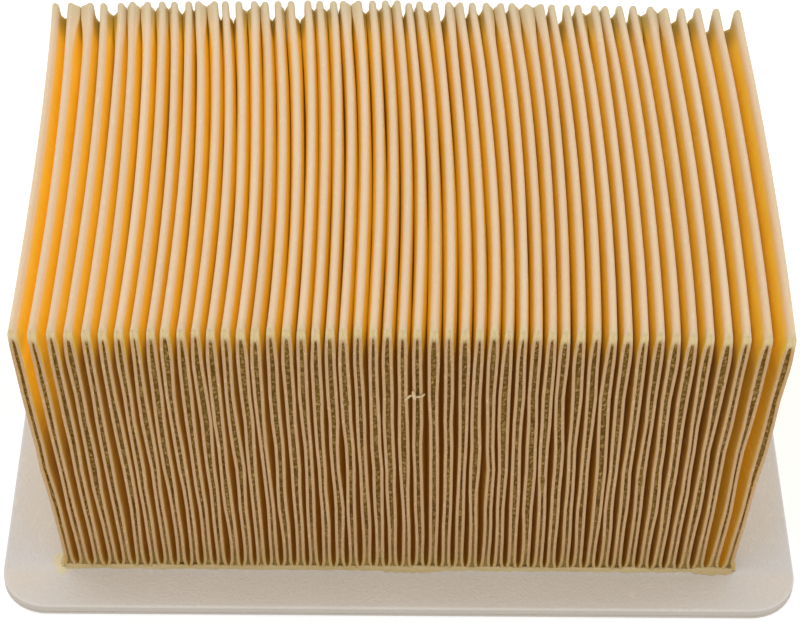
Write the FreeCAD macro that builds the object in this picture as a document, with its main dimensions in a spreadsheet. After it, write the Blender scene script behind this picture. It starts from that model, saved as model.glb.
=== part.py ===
import FreeCAD, Part
import math
import os
import Sketcher
from FreeCAD import Rotation, Vector

# Pleated panel air filter: a folded paper pack bonded to a flat felt flange.
# Millimetres. X runs across the pleats, Y along them, Z up.
# The origin is the middle of the flange's underside.

SIZES = {
    # flange, from the underside up
    "side_margin": 13.75,
    "front_margin": 11,
    "corner_radius": 10.5,
    "lower_felt_thick": 1,
    "board_thick": 1,
    "upper_felt_thick": 1,
    "rim_width": 2,
    "board_clearance": 0.1,
    "window_radius": 3,
    "side_lip": 0.9,
    "front_lip": 6,
    # folded paper pack
    "pleat_count": 50,
    "top_pitch": 3.22,
    "base_pitch": 3,
    "pack_height": 76.5,
    "pack_length": 105,
    "paper_thick": 0.7,
    "ridge_radius": 0.85,
    "valley_radius": 0.25,
    # glue between the two walls of each pleat
    "seam_depth": 5,
    "seam_recess": 0.4,
    "seam_toe": 0.05,
    "spacer_width": 2,
    "spacer_spacing": 24,
    "spacer_foot_gap": 4,
    "spacer_top_gap": 9,
    # glue runs round the foot of the pack
    "bead_height": 2,
    "bead_width": 1.2,
}

FLANGE_TOP = "Sizes.lower_felt_thick + Sizes.board_thick + Sizes.upper_felt_thick"
BOARD_INSET = "2 * (Sizes.rim_width + Sizes.board_clearance)"
PACK_BASE_WIDTH = "Sizes.pleat_count * Sizes.base_pitch - 2 * Sizes.valley_radius"
WINDOW_WIDTH = f"{PACK_BASE_WIDTH} - 2 * Sizes.side_lip"
WINDOW_DEPTH = "Sizes.pack_length - 2 * Sizes.front_lip"
FLANGE_WIDTH = f"{PACK_BASE_WIDTH} + 2 * Sizes.side_margin"
FLANGE_DEPTH = "Sizes.pack_length + 2 * Sizes.front_margin"


def make_sheet(doc):
    """The driving dimensions, one row each, with the name as the alias."""
    sheet = doc.addObject("Spreadsheet::Sheet", "Sizes")
    for row, (name, value) in enumerate(SIZES.items(), start=1):
        sheet.set(f"A{row}", name)
        sheet.set(f"B{row}", str(value))
        sheet.setAlias(f"B{row}", name)
    doc.recompute()
    return sheet


# ------------------------------------------------------------ sketched bodies


def new_body(doc, label, z="0"):
    body = doc.addObject("PartDesign::Body", label)
    body.setExpression("Placement.Base.z", z)
    return body


def new_sketch(body, name, plane_role):
    sketch = body.newObject("Sketcher::SketchObject", name)
    plane = next(f for f in body.Origin.OriginFeatures if f.Role == plane_role)
    sketch.AttachmentSupport = (plane, [""])
    sketch.MapMode = "FlatFace"
    return sketch


def closed_outline(sketch, points):
    """Straight lines from point to point and back to the first."""
    for start, end in zip(points, points[1:] + points[:1]):
        sketch.addGeometry(Part.LineSegment(start, end), False)
    for line in range(len(points)):
        following = (line + 1) % len(points)
        sketch.addConstraint(Sketcher.Constraint("Coincident", line, 2, following, 1))


def bind_length(sketch, kind, line, label, start_value, expression):
    """A distance along a line, named and driven by an expression."""
    index = sketch.addConstraint(Sketcher.Constraint(kind, line, 1, line, 2, start_value))
    sketch.renameConstraint(index, label)
    sketch.setExpression(f"Constraints.{label}", expression)


def rectangle(body, name, width, depth):
    """A rectangle centred on the body's XY plane."""
    sketch = new_sketch(body, name, "XY_Plane")
    x, y = 60.0, 40.0
    closed_outline(sketch, [Vector(-x, -y), Vector(x, -y), Vector(x, y), Vector(-x, y)])
    for line, direction in enumerate(("Horizontal", "Vertical") * 2):
        sketch.addConstraint(Sketcher.Constraint(direction, line))
    sketch.addConstraint(Sketcher.Constraint("Symmetric", 0, 1, 2, 1, -1, 1))
    bind_length(sketch, "DistanceX", 0, "across", 2 * x, width)
    bind_length(sketch, "DistanceY", 1, "along", 2 * y, depth)
    return sketch


def pad(body, sketch, name, length, both_ways=False):
    feature = body.newObject("PartDesign::Pad", name)
    feature.Profile = sketch
    feature.setExpression("Length", length)
    feature.Midplane = both_ways
    return feature


def cut_from_below(body, sketch, name, depth):
    feature = body.newObject("PartDesign::Pocket", name)
    feature.Profile = sketch
    feature.Reversed = True
    feature.setExpression("Length", depth)
    return feature


def round_corners(doc, body, name, width, depth, radius):
    """Rounds the four upright corners of the rectangle that is width by depth."""
    doc.recompute()
    base = body.Tip
    half_width, half_depth = (body.evalExpression(size) / 2 for size in (width, depth))
    corners = []
    for number, edge in enumerate(base.Shape.Edges, start=1):
        first, last = edge.firstVertex().Point, edge.lastVertex().Point
        upright = abs(first.x - last.x) + abs(first.y - last.y) < 1e-6
        at_corner = abs(abs(first.x) - half_width) + abs(abs(first.y) - half_depth) < 1e-3
        if upright and at_corner:
            corners.append(f"Edge{number}")
    if len(corners) != 4:
        raise ValueError(f"{body.Label}: {len(corners)} corners found for {name}")
    feature = body.newObject("PartDesign::Fillet", name)
    feature.Base = (base, corners)
    feature.setExpression("Radius", radius)
    return feature


def sheet_body(doc, label, z, width, depth, thickness):
    """A flat rectangular sheet whose underside is at z."""
    body = new_body(doc, label, z)
    pad(body, rectangle(body, label + "_outline", width, depth), label + "_sheet", thickness)
    return body


def cut_window(doc, body, thickness):
    """The opening under the pleats, where the clean air leaves."""
    sketch = rectangle(body, body.Label + "_window", WINDOW_WIDTH, WINDOW_DEPTH)
    cut_from_below(body, sketch, body.Label + "_window_cut", thickness)
    round_corners(
        doc, body, body.Label + "_window_corners", WINDOW_WIDTH, WINDOW_DEPTH, "Sizes.window_radius"
    )


def make_lower_felt(doc):
    """Felt ring that seals against the airbox seat."""
    thickness = "Sizes.lower_felt_thick"
    body = sheet_body(doc, "lower_felt", "0", FLANGE_WIDTH, FLANGE_DEPTH, thickness)
    round_corners(
        doc, body, "lower_felt_corners", FLANGE_WIDTH, FLANGE_DEPTH, "Sizes.corner_radius"
    )
    cut_window(doc, body, thickness)
    return body


def make_flange_board(doc):
    """Stiff board ring between the two felts, inside the upper felt's rim."""
    width = f"{FLANGE_WIDTH} - {BOARD_INSET}"
    depth = f"{FLANGE_DEPTH} - {BOARD_INSET}"
    radius = "Sizes.corner_radius - Sizes.rim_width - Sizes.board_clearance"
    thickness = "Sizes.board_thick"
    body = sheet_body(doc, "flange_board", "Sizes.lower_felt_thick", width, depth, thickness)
    round_corners(doc, body, "flange_board_corners", width, depth, radius)
    cut_window(doc, body, thickness)
    return body


def make_upper_felt(doc):
    """Felt sheet over the board, with a rim that comes down round it."""
    width, depth = FLANGE_WIDTH, FLANGE_DEPTH
    thickness = "Sizes.board_thick + Sizes.upper_felt_thick"
    body = sheet_body(doc, "upper_felt", "Sizes.lower_felt_thick", width, depth, thickness)
    inner_width, inner_depth = f"{width} - 2 * Sizes.rim_width", f"{depth} - 2 * Sizes.rim_width"
    inner_radius = "Sizes.corner_radius - Sizes.rim_width"
    recess = rectangle(body, "upper_felt_recess", inner_width, inner_depth)
    cut_from_below(body, recess, "upper_felt_recess_cut", "Sizes.board_thick")
    round_corners(doc, body, "upper_felt_recess_corners", inner_width, inner_depth, inner_radius)
    round_corners(doc, body, "upper_felt_corners", width, depth, "Sizes.corner_radius")
    cut_window(doc, body, thickness)
    return body


def make_end_bead(doc, label, side):
    """Glue fillet along the front (side -1) or rear (side 1) foot of the pack."""
    body = new_body(doc, label, FLANGE_TOP)
    body.Placement.Rotation = Rotation(Vector(0, 0, 1), 0 if side < 0 else 180)
    body.setExpression("Placement.Base.y", f"{side} * Sizes.pack_length / 2")
    sketch = new_sketch(body, label + "_section", "YZ_Plane")
    closed_outline(sketch, [Vector(-1, 0), Vector(0, 0), Vector(0, 2)])
    sketch.addConstraint(Sketcher.Constraint("Horizontal", 0))
    sketch.addConstraint(Sketcher.Constraint("Vertical", 1))
    sketch.addConstraint(Sketcher.Constraint("Coincident", 0, 2, -1, 1))
    bind_length(sketch, "DistanceX", 0, "wide", 1.0, "Sizes.bead_width")
    bind_length(sketch, "DistanceY", 1, "tall", 2.0, "Sizes.bead_height")
    pad(body, sketch, label + "_run", f"{PACK_BASE_WIDTH} + 2 * Sizes.bead_width", both_ways=True)
    return body


# --------------------------------------------------------------- folded paper


class Fold:
    """Where the paper turns: ridges along the top, valleys along the foot."""

    def __init__(self, sheet):
        self.size = sheet
        self.count = int(sheet.pleat_count)
        self.foot = sheet.lower_felt_thick + sheet.board_thick + sheet.upper_felt_thick
        self.ridge_inside = sheet.ridge_radius - sheet.paper_thick
        self.valley_outside = sheet.valley_radius + sheet.paper_thick

    def ridge(self, pleat):
        """Centre of a pleat's rounded top."""
        x = (pleat - (self.count - 1) / 2) * self.size.top_pitch
        return Vector(x, 0, self.foot + self.size.pack_height - self.size.ridge_radius)

    def valley(self, gap):
        """Centre of the rounded fold to the left of the pleat with the same number."""
        x = (gap - self.count / 2) * self.size.base_pitch
        return Vector(x, 0, self.foot + self.valley_outside)

    def wall_normal(self, pleat, side):
        """Unit normal, pointing +X, of a pleat's left (-1) or right (1) wall."""
        gap = pleat if side < 0 else pleat + 1
        lower, radii = self.valley(gap), self.size.valley_radius + self.size.ridge_radius
        if self.at_end(pleat, side):
            lower, radii = self.end_foot(side), self.size.ridge_radius
        along = self.ridge(pleat) - lower
        lean = math.asin(radii / along.Length)
        along.normalize()
        across = Vector(along.z, 0, -along.x)
        return across * math.cos(lean) - along * (side * math.sin(lean))

    def at_end(self, pleat, side):
        return pleat == (0 if side < 0 else self.count - 1)

    def end_foot(self, side):
        """Where the outer face of the first or last wall meets the flange."""
        x = side * (self.count * self.size.base_pitch / 2 - self.size.valley_radius)
        return Vector(x, 0, self.foot)

    def wall(self, pleat, side, inside):
        """Lower and upper end of a wall's flat stretch, on its inner or outer face."""
        normal = self.wall_normal(pleat, side)
        radius = self.ridge_inside if inside else self.size.ridge_radius
        top = self.ridge(pleat) + normal * (side * radius)
        if self.at_end(pleat, side):
            down = Vector(normal.z, 0, -normal.x)
            return top + down * ((self.foot - top.z) / down.z), top
        gap = pleat if side < 0 else pleat + 1
        radius = self.valley_outside if inside else self.size.valley_radius
        return self.valley(gap) - normal * (side * radius), top

    def wall_at(self, pleat, side, height, inside=True):
        """The point of a wall's face at a height."""
        low, top = self.wall(pleat, side, inside)
        return low + (top - low) * ((height - low.z) / (top.z - low.z))

    def ridge_top(self, pleat, inside):
        radius = self.ridge_inside if inside else self.size.ridge_radius
        return self.ridge(pleat) + Vector(0, 0, radius)

    def valley_bottom(self, gap, inside):
        radius = self.valley_outside if inside else self.size.valley_radius
        return self.valley(gap) - Vector(0, 0, radius)


def fold_arc(centre, start, end):
    """The shorter arc from start to end round a fold's centre."""
    middle = (start + end) * 0.5 - centre
    middle = centre + middle.normalize() * (start - centre).Length
    return Part.Arc(start, middle, end).toShape()


def half_pleat(fold, pleat, side, inside):
    """Edges up one wall from the valley's lowest line, or from the flange, and the first point."""
    low, top = fold.wall(pleat, side, inside)
    wall = Part.LineSegment(low, top).toShape()
    if fold.at_end(pleat, side):
        return [wall], low
    gap = pleat if side < 0 else pleat + 1
    start = fold.valley_bottom(gap, inside)
    return [fold_arc(fold.valley(gap), start, low), wall], start


def paper_face(fold, pleat, inside):
    """Edges of one pleat's outer or inner face, left to right, and its two ends."""
    left, first = half_pleat(fold, pleat, -1, inside)
    right, last = half_pleat(fold, pleat, 1, inside)
    tops = [fold.wall(pleat, side, inside)[1] for side in (-1, 1)]
    crown = Part.Arc(tops[0], fold.ridge_top(pleat, inside), tops[1]).toShape()
    return left + [crown] + list(reversed(right)), first, last


def prism(edges, length):
    """A solid with this outline, running along +Y from Y = 0."""
    wire = Part.Wire(edges)
    return Part.Face(wire).extrude(Vector(0, length, 0))


def outline(points):
    ends = points[1:] + points[:1]
    return [Part.LineSegment(a, b).toShape() for a, b in zip(points, ends)]


def paper_pleat(fold, pleat):
    """One pleat of the strip, cut from its neighbours along the valleys' lowest lines."""
    outer, outer_first, outer_last = paper_face(fold, pleat, False)
    inner, inner_first, inner_last = paper_face(fold, pleat, True)
    right_cut = Part.LineSegment(outer_last, inner_last).toShape()
    left_cut = Part.LineSegment(inner_first, outer_first).toShape()
    loop = outer + [right_cut] + list(reversed(inner)) + [left_cut]
    return prism(loop, fold.size.pack_length)


def seam_side(fold, pleat, side):
    """Edges of a seam from the flange up one wall, and the first point."""
    low, top = fold.wall(pleat, side, True)
    wall = Part.LineSegment(low, top).toShape()
    if fold.at_end(pleat, side):
        return [wall], low
    # The fold curls away under the wall; the glue follows it to a thin toe.
    centre = fold.valley(pleat if side < 0 else pleat + 1)
    drop = fold.valley_outside - fold.size.seam_toe
    reach = math.sqrt(fold.valley_outside**2 - drop**2)
    toe = centre + Vector(-side * reach, 0, -drop)
    start = Vector(toe.x, 0, fold.foot)
    return [Part.LineSegment(start, toe).toShape(), fold_arc(centre, toe, low), wall], start


def pleat_seam(fold, pleat):
    """The glue that fills one pleat's end, wall to wall and flange to ridge."""
    left, left_start = seam_side(fold, pleat, -1)
    right, right_start = seam_side(fold, pleat, 1)
    tops = [fold.wall(pleat, side, True)[1] for side in (-1, 1)]
    crown = Part.Arc(tops[0], fold.ridge_top(pleat, True), tops[1]).toShape()
    base = Part.LineSegment(right_start, left_start).toShape()
    return prism(left + [crown] + list(reversed(right)) + [base], fold.size.seam_depth)


def spacer_line(fold, pleat):
    """A glue line across the inside of one pleat, short of its top and foot."""
    bottom = fold.foot + fold.size.spacer_foot_gap
    top = fold.foot + fold.size.pack_height - fold.size.spacer_top_gap
    corners = [(-1, bottom), (1, bottom), (1, top), (-1, top)]
    points = [fold.wall_at(pleat, side, height) for side, height in corners]
    return prism(outline(points), fold.size.spacer_width)


def side_bead(fold, side):
    """Glue fillet in the corner between an end wall and the flange."""
    pleat = 0 if side < 0 else fold.count - 1
    corner = fold.end_foot(side)
    toe = corner + Vector(side * fold.size.bead_width, 0, 0)
    top = fold.wall_at(pleat, side, fold.foot + fold.size.bead_height, inside=False)
    return prism(outline([corner, toe, top]), fold.size.pack_length)


def add_feature(doc, label, shape, y):
    feature = doc.addObject("Part::Feature", label)
    feature.Shape = shape
    feature.Placement = FreeCAD.Placement(Vector(0, y, 0), Rotation())
    return feature


def make_pack(doc, sheet):
    """The folded strip, pleat by pleat, and the glue that follows its walls."""
    fold = Fold(sheet)
    pleats = range(fold.count)
    half = sheet.pack_length / 2
    paper = Part.Compound([paper_pleat(fold, pleat) for pleat in pleats])
    seams = Part.Compound([pleat_seam(fold, pleat) for pleat in pleats])
    spacers = Part.Compound([spacer_line(fold, pleat) for pleat in pleats])
    middle = -sheet.spacer_width / 2
    front_seam = -half + sheet.seam_recess
    return [
        add_feature(doc, "pleated_media", paper, -half),
        add_feature(doc, "front_pleat_seams", seams, front_seam),
        add_feature(doc, "rear_pleat_seams", seams, -front_seam - sheet.seam_depth),
        add_feature(doc, "front_spacer_lines", spacers, middle - sheet.spacer_spacing),
        add_feature(doc, "middle_spacer_lines", spacers, middle),
        add_feature(doc, "rear_spacer_lines", spacers, middle + sheet.spacer_spacing),
        add_feature(doc, "left_base_bead", side_bead(fold, -1), -half),
        add_feature(doc, "right_base_bead", side_bead(fold, 1), -half),
    ]


# -------------------------------------------------------------------- writing


def check(doc, pieces):
    """Stops on a failed feature, or on a piece with no sound solid."""
    for item in doc.Objects:
        if {"Invalid", "Error"} & set(item.State):
            raise RuntimeError(f"{item.Label} failed: {item.State}")
    for piece in pieces:
        shape = piece.Shape
        if shape.isNull() or not shape.isValid() or not shape.Solids:
            raise RuntimeError(f"{piece.Label} has no sound shape")


def main():
    doc = FreeCAD.newDocument("pleated_air_filter")
    sheet = make_sheet(doc)
    pieces = [
        make_lower_felt(doc),
        make_flange_board(doc),
        make_upper_felt(doc),
        make_end_bead(doc, "front_base_bead", -1),
        make_end_bead(doc, "rear_base_bead", 1),
    ]
    pieces += make_pack(doc, sheet)
    doc.recompute()
    check(doc, pieces)
    os.makedirs("parts", exist_ok=True)
    for piece in pieces:
        piece.Shape.exportStep(f"parts/{piece.Label}.step")
        box = piece.Shape.BoundBox
        solids = len(piece.Shape.Solids)
        span = f"{box.XLength:.2f} x {box.YLength:.2f} x {box.ZLength:.2f}"
        print(f"{piece.Label}: {solids} solids, {piece.Shape.Volume:.1f} mm3, {span}")


main()
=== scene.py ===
"""Looks of a pleated panel air filter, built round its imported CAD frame. Metres, Z up."""

import math

import bmesh
import bpy
from mathutils import Matrix, Vector, noise


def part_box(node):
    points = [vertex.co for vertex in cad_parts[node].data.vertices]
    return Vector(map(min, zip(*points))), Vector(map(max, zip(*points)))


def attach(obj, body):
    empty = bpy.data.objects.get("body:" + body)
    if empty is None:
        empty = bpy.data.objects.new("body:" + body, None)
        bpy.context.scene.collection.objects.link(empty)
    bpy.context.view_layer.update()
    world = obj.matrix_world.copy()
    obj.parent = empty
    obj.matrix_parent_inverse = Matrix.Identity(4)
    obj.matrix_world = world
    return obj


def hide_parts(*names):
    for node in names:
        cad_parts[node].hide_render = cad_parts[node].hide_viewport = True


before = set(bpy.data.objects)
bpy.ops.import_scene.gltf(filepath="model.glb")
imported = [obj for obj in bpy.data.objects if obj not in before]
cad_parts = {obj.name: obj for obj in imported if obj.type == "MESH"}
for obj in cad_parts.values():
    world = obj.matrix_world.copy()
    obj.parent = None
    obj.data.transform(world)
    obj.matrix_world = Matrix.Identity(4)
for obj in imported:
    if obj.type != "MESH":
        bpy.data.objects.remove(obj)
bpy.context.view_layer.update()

MM = 0.001

# ------------------------------------------------------------ sizes, from the frame

paper_low, paper_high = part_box("pleated_media")
felt_low, felt_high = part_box("upper_felt")
gasket_low, gasket_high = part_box("lower_felt")
board_low, board_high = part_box("flange_board")

FLANGE_TOP = felt_high.z
PACK_TOP = paper_high.z
HALF_LENGTH = paper_high.y
FRONT = -HALF_LENGTH

PLEATS = 50
PAPER_THICK = 0.66 * MM
CREASE_HALF_WIDTH = 0.72 * MM
CREASE_DROP = 1.1 * MM
VALLEY_RADIUS = 0.25 * MM
TOP_PITCH = (paper_high.x - paper_low.x - 2 * CREASE_HALF_WIDTH) / (PLEATS - 1)
BASE_PITCH = 3 * MM
BASE_HALF_WIDTH = PLEATS * BASE_PITCH / 2 - VALLEY_RADIUS
SIDE_LIP = 0.9 * MM
FRONT_LIP = 6 * MM
WINDOW_HALF_WIDTH = BASE_HALF_WIDTH - SIDE_LIP
WINDOW_HALF_DEPTH = HALF_LENGTH - FRONT_LIP
WINDOW_RADIUS = 3 * MM
CORNER_RADIUS = 10.5 * MM
RIM_WIDTH = felt_high.x - board_high.x
SEAM_DEPTH = 5 * MM
SPACER_SPACING = 24 * MM
BEAD_HEIGHT = 0.8 * MM
BEAD_WIDTH = 0.5 * MM


# ------------------------------------------------------------ node trees in plain arithmetic


def connect(tree, value, slot):
    """Feeds a slot from a field, a socket or a plain value."""
    if isinstance(value, Field):
        value = value.socket
    if isinstance(value, bpy.types.NodeSocket):
        tree.links.new(value, slot)
    else:
        slot.default_value = value


class Field:
    """A number in a node tree. Arithmetic on it adds Math nodes."""

    def __init__(self, tree, socket):
        self.tree, self.socket = tree, socket

    def calc(self, operation, *values):
        return calc(self.tree, operation, *values)

    def __add__(self, other):
        return self.calc("ADD", self, other)

    def __sub__(self, other):
        return self.calc("SUBTRACT", self, other)

    def __mul__(self, other):
        return self.calc("MULTIPLY", self, other)

    def __truediv__(self, other):
        return self.calc("DIVIDE", self, other)

    def __rsub__(self, other):
        return self.calc("SUBTRACT", other, self)

    __radd__ = __add__
    __rmul__ = __mul__

    def __abs__(self):
        return self.calc("ABSOLUTE", self)

    def at_least(self, other):
        return self.calc("MAXIMUM", self, other)

    def at_most(self, other):
        return self.calc("MINIMUM", self, other)

    def limited(self):
        return self.at_least(0.0).at_most(1.0)

    def above(self, other):
        return self.calc("GREATER_THAN", self, other)

    def power(self, exponent):
        return self.calc("POWER", self, exponent)

    def floor(self):
        return self.calc("FLOOR", self)

    def sign(self):
        return self.calc("SIGN", self)

    def sine(self):
        return self.calc("SINE", self)

    def cosine(self):
        return self.calc("COSINE", self)

    def step(self, low, high):
        """0 below low, 1 above high, smooth between; low may be the larger."""
        share = ((self - low) / (high - low)).limited()
        return share * share * (3.0 - 2.0 * share)

    def mix(self, other, share):
        return self + (other - self) * share


def calc(tree, operation, *values):
    node = tree.nodes.new("ShaderNodeMath")
    node.operation = operation
    for value, slot in zip(values, node.inputs):
        connect(tree, value, slot)
    return Field(tree, node.outputs[0])


def add_node(tree, kind, inputs=(), **settings):
    """Adds a node, sets its options, and feeds its inputs by name or in order."""
    node = tree.nodes.new(kind)
    for name, value in settings.items():
        setattr(node, name, value)
    pairs = inputs.items() if isinstance(inputs, dict) else enumerate(inputs)
    for key, value in pairs:
        connect(tree, value, node.inputs[key])
    return node


def vector(tree, x=0.0, y=0.0, z=0.0):
    return add_node(tree, "ShaderNodeCombineXYZ", (x, y, z)).outputs[0]


def axes(tree, place):
    """The x, y and z of a vector."""
    parts = add_node(tree, "ShaderNodeSeparateXYZ", (place,)).outputs
    return [Field(tree, part) for part in parts]


def wander(tree, x=0.0, y=0.0, z=0.0, detail=0.0):
    """Smooth noise, mostly between -1 and 1, that changes over one unit of x, y and z.

    A factor on a pleat's number sets neighbours apart, and one on a length is waves per metre."""
    inputs = {"Vector": vector(tree, x, y, z), "Scale": 1.0, "Detail": detail}
    node = add_node(tree, "ShaderNodeTexNoise", inputs)
    return (Field(tree, node.outputs[0]) - 0.5) * 4.0


def new_tree(name, kind, inputs=(), outputs=()):
    """A node tree with named sockets. Each is (name, type, default)."""
    tree = bpy.data.node_groups.new(name, kind)
    for in_out, sockets in (("INPUT", inputs), ("OUTPUT", outputs)):
        for label, socket_type, *default in sockets:
            socket = tree.interface.new_socket(label, in_out=in_out, socket_type=socket_type)
            if default:
                socket.default_value = default[0]
    source = tree.nodes.new("NodeGroupInput")
    sink = tree.nodes.new("NodeGroupOutput")
    return tree, source.outputs, sink.inputs


def numbers(tree, sockets, names):
    return [Field(tree, sockets[name]) for name in names]


def use_group(tree, group, inputs):
    kind = "GeometryNodeGroup" if tree.bl_idname == "GeometryNodeTree" else "ShaderNodeGroup"
    node = tree.nodes.new(kind)
    node.node_tree = group
    for name, value in inputs.items():
        connect(tree, value, node.inputs[name])
    return node.outputs


def grow(name, tree, sizes):
    """Makes a plain mesh of what a geometry tree builds."""
    seed_mesh = bpy.data.meshes.new(name + "_start")
    piece = bpy.data.objects.new(name, seed_mesh)
    bpy.context.scene.collection.objects.link(piece)
    modifier = piece.modifiers.new("build", "NODES")
    modifier.node_group = tree
    for item in tree.interface.items_tree:
        if item.item_type == "SOCKET" and item.in_out == "INPUT" and item.name in sizes:
            modifier[item.identifier] = sizes[item.name]
    return settle(piece)


def settle(piece):
    """Bakes a piece's modifiers into its mesh."""
    piece.update_tag()
    bpy.context.view_layer.update()
    graph = bpy.context.evaluated_depsgraph_get()
    mesh = bpy.data.meshes.new_from_object(
        piece.evaluated_get(graph), preserve_all_data_layers=True, depsgraph=graph
    )
    piece.modifiers.clear()
    old, piece.data = piece.data, mesh
    bpy.data.meshes.remove(old)
    mesh.name = piece.name
    return piece


# ------------------------------------------------------------ where each pleat stands

FLOAT = "NodeSocketFloat"
SHAPE = (
    ("Pleat Count", FLOAT, float(PLEATS)),
    ("Top Pitch", FLOAT, TOP_PITCH),
    ("Base Pitch", FLOAT, BASE_PITCH),
    ("Foot", FLOAT, FLANGE_TOP),
    ("Top", FLOAT, PACK_TOP),
    ("Half Length", FLOAT, HALF_LENGTH),
    ("Seed", FLOAT, 3.0),
)
SHAPE_NAMES = [label for label, _, _ in SHAPE]
SHAPE_VALUES = {label: value for label, _, value in SHAPE}


# How far the pack's top is from flat, and its two ends from straight.
CROWN_RISE = 1.2 * MM
RIDGE_DIP = 0.12 * MM
REAR_CROWN = 0.4 * MM
REAR_SHORT = 0.6 * MM
FRONT_STAGGER = 0.2 * MM
REAR_STAGGER = 0.4 * MM


def ridge_line_group():
    """Height of a pleat's ridge, and how far its ends stand forward, along its length."""
    inputs = (("Pleat", FLOAT, 0.0), ("Along", FLOAT, 0.0)) + SHAPE
    outputs = (("Ridge", FLOAT), ("Shift", FLOAT))
    tree, given, result = new_tree("ridge_line", "GeometryNodeTree", inputs, outputs)
    pleat, along, top, half, seed = numbers(
        tree, given, ("Pleat", "Along", "Top", "Half Length", "Seed")
    )
    count = given["Pleat Count"]
    place = pleat / (Field(tree, count) * 0.5) - 1.0
    rear = (along / half * 0.5 + 0.5).limited()
    dip = wander(tree, pleat * 4.1, along * 18.0, seed)
    # The pack's top is crowned: its middle pleats stand a little taller.
    crown = 1.0 - place * place
    ridge = top + crown * CROWN_RISE + dip * RIDGE_DIP
    front_shift = wander(tree, pleat * 7.3, 2.0, seed) * FRONT_STAGGER
    rear_shift = crown * REAR_CROWN - REAR_SHORT
    rear_shift = rear_shift + wander(tree, pleat * 6.1, 9.0, seed) * REAR_STAGGER
    connect(tree, ridge, result["Ridge"])
    connect(tree, front_shift.mix(rear_shift, rear), result["Shift"])
    return tree


# How the pleats crowd towards the middle of the pack, as a share of the even pitch.
TOP_CROWDING = 0.068
BASE_CROWDING = 0.02
# The pack bows, turns and leans as a whole. Its middle pleats add the second amount of each.
BOW, MIDDLE_BOW = 0.9 * MM, 0.87 * MM
TURN, MIDDLE_TURN = 0.4 * MM, 0.34 * MM
LEAN, MIDDLE_LEAN = 0.95 * MM, 1.6 * MM
# How far the pleats stray from that, together and each by itself.
SHARED_SWAY = 0.3 * MM
OWN_SWAY, REAR_SWAY = 0.15 * MM, 0.28 * MM
RIPPLE, FRONT_RIPPLE = 0.25 * MM, 0.05 * MM
FRONT_UNEVEN = 0.3 * MM


def pleat_centre_group():
    """Where a pleat's middle is across the pack, at a place along it and a height."""
    inputs = (("Pleat", FLOAT, 0.0), ("Along", FLOAT, 0.0), ("Height", FLOAT, 0.0)) + SHAPE
    tree, given, result = new_tree(
        "pleat_centre", "GeometryNodeTree", inputs, (("Centre", FLOAT),)
    )
    pleat, along, height = numbers(tree, given, ("Pleat", "Along", "Height"))
    count, top_pitch, base_pitch, foot, top, half, seed = numbers(tree, given, SHAPE_NAMES)
    middle = (count - 1.0) / 2.0
    place = (pleat - middle) / middle
    # The ridges stand closer in the middle of the pack and spread at its two ends.
    spread = place * abs(place).power(6.25 + 1.25 * place)
    reach = along / half
    at_top = middle * top_pitch * place.mix(spread, TOP_CROWDING)
    at_base = middle * base_pitch * place.mix(spread, BASE_CROWDING)
    rise = ((height - foot) / (top - foot)).limited()
    fanned = at_base.mix(at_top, rise)
    # The pleats at the pack's two ends are held, and those in its middle are freer.
    free = 1.0 - place.power(4.0)
    bow = (1.0 - reach * reach) * (BOW + free * MIDDLE_BOW)
    bow = bow - reach * (TURN + free * MIDDLE_TURN) - (LEAN + free * MIDDLE_LEAN)
    # Neighbours drift together, and each pleat has a sway and ripples of its own.
    together = wander(tree, pleat * 0.2, along * 12.0, seed) * free * SHARED_SWAY
    own = wander(tree, pleat * 5.3, along * 11.0, seed + 20.0)
    own = own * (OWN_SWAY + reach.step(0.5, 1.0) * REAR_SWAY)
    at_front = reach.step(-0.6, -1.0)
    ripple = wander(tree, pleat * 3.7, along * 22.0 + seed, height * 60.0)
    ripple = ripple * (RIPPLE + at_front * FRONT_RIPPLE)
    # At the front the pleats are glued a little unevenly, so some channels are nearly shut.
    uneven = wander(tree, pleat * 6.7, 4.0, height * 14.0) * at_front * FRONT_UNEVEN
    # Ripples die out at the foot and at the ridge, and the sway at the foot.
    rippled = (ripple + uneven) * rise * (1.0 - rise) * 4.0
    sway = (together + own + bow) * rise.step(0.0, 1.0)
    connect(tree, fanned + sway + rippled, result["Centre"])
    return tree


# Half the width of a pleat between its outer faces.
WALL_HALF_WIDTH = 1.05 * MM
WALL_TAPER = 0.002
FRONT_TUCK = 0.1 * MM
LOOSENESS, FRONT_LOOSENESS = 0.05 * MM, 0.1 * MM
FOOT_HALF_WIDTH = 0.93 * MM
REAR_CREASE = 0.1 * MM
# Half the width of the channel that is left between two neighbours.
HALF_CHANNEL, FRONT_HALF_CHANNEL = 0.4 * MM, 0.06 * MM
BELLY_HALF_CHANNEL, BELLY_UNEVEN = 0.1 * MM, 0.12 * MM
LEAST_HALF_CHANNEL = 0.02 * MM
# Depths under the ridge: where the walls have parted, where they belly, where the rear is shut.
PARTED_DEPTH = 11.0 * MM
BELLY_START, BELLY_FULL = 1.6 * MM, 7.0 * MM
SHUT_DEPTH, SHUT_SPREAD, SHUT_LAST = 1.2 * MM, 5.4 * MM, 4.0 * MM
# Heights over the foot: where the pleats narrow, and where they curl out to the valley folds.
NARROW_START, NARROW_FULL = 22.0 * MM, 6.0 * MM
CURL_HEIGHT = 2.2 * MM


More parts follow.
